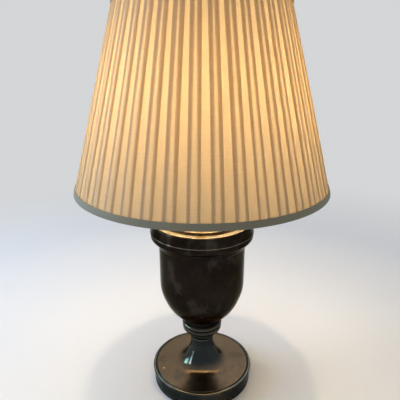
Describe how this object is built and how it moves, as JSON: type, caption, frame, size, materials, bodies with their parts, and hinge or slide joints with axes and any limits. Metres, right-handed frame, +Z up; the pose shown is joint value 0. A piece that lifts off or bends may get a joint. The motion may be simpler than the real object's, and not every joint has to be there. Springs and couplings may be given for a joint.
{
  "type": "urn table lamp",
  "caption": "Urn-shaped metal table lamp on a trumpet foot, with a harp-mounted, box-pleated cloth empire shade that turns on its seat.",
  "frame": {"origin": "centre of the foot's underside, on the table, under the lamp's axis", "axes": "+Z up the lamp's axis, -Y towards the front where the switch key is, +Y towards the cord inlet"},
  "size_m": [0.4018, 0.4018, 0.6542],
  "materials": {
    "patina": "glossy dark brown patina, worn at the edges",
    "cap_metal": "satin aged brass",
    "lamp_brass": "satin lacquered brass",
    "steel": "zinc-plated",
    "iron": "rough cast",
    "shell_aluminium": "rolled thread",
    "black_plastic": "moulded",
    "phenolic": "moulded",
    "card": "varnished card",
    "bulb_ceramic": "glazed",
    "bulb_glass": "frosted white, lit",
    "liner": "translucent white sheet",
    "shade_cloth": "slubbed linen-weave cloth, translucent",
    "trim_cloth": "bias binding, grey-green",
    "felt": "pressed felt"
  },
  "bodies": {
    "base": {"base_felt": "felt", "foot": "patina", "neck_ring": "patina", "urn_collar": "patina", "urn_bowl": "patina", "urn_rim": "patina", "vase_cap": "cap_metal", "foot_weight": "iron", "base_washer": "steel", "base_nut": "steel", "cord_bushing": "black_plastic", "lamp_pipe": "steel", "lower_check_ring": "lamp_brass", "neck_tube": "lamp_brass", "upper_check_ring": "lamp_brass", "harp_saddle": "lamp_brass", "saddle_nut": "steel", "socket_cap": "lamp_brass", "socket_shell": "lamp_brass", "socket_liner": "card", "switch_block": "phenolic", "screw_shell": "shell_aluminium", "center_contact": "lamp_brass", "terminal_screws": "lamp_brass"},
    "key": {"switch_key": "black_plastic"},
    "bulb": {"bulb_contact": "steel", "bulb_insulator": "bulb_ceramic", "bulb_cap": "shell_aluminium", "bulb_glass": "bulb_glass"},
    "harp": {"harp_loop": "lamp_brass", "harp_stud": "lamp_brass"},
    "ferrule_left": {"harp_ferrule_left": "lamp_brass"},
    "ferrule_right": {"harp_ferrule_right": "lamp_brass"},
    "shade": {"spider_fitter": "lamp_brass", "bottom_ring": "steel", "shade_liner": "liner", "pleated_cover": "shade_cloth", "bottom_trim": "trim_cloth", "top_trim": "trim_cloth"},
    "finial": {"finial": "lamp_brass"}
  },
  "joints": [
    {"name": "key_turn", "type": "hinge", "parent": "base", "child": "key", "pos_m": [0, -0.02, 0.4262], "axis": [0, -1, 0], "continuous": true},
    {"name": "bulb_turn", "type": "hinge", "parent": "base", "child": "bulb", "pos_m": [0, 0, 0.4351], "axis": [0, 0, 1], "continuous": true},
    {"name": "harp_lift", "type": "slide", "parent": "base", "child": "harp", "axis": [0, 0, 1], "range_m": [0, 0.035]},
    {"name": "ferrule_left_lift", "type": "slide", "parent": "harp", "child": "ferrule_left", "axis": [0, 0, 1], "range_m": [0, 0.018]},
    {"name": "ferrule_right_lift", "type": "slide", "parent": "harp", "child": "ferrule_right", "axis": [0, 0, 1], "range_m": [0, 0.018]},
    {"name": "shade_turn", "type": "hinge", "parent": "harp", "child": "shade", "pos_m": [0, 0, 0.62], "axis": [0, 0, 1], "continuous": true},
    {"name": "finial_turn", "type": "hinge", "parent": "harp", "child": "finial", "pos_m": [0, 0, 0.622], "axis": [0, 0, 1], "continuous": true}
  ]
}
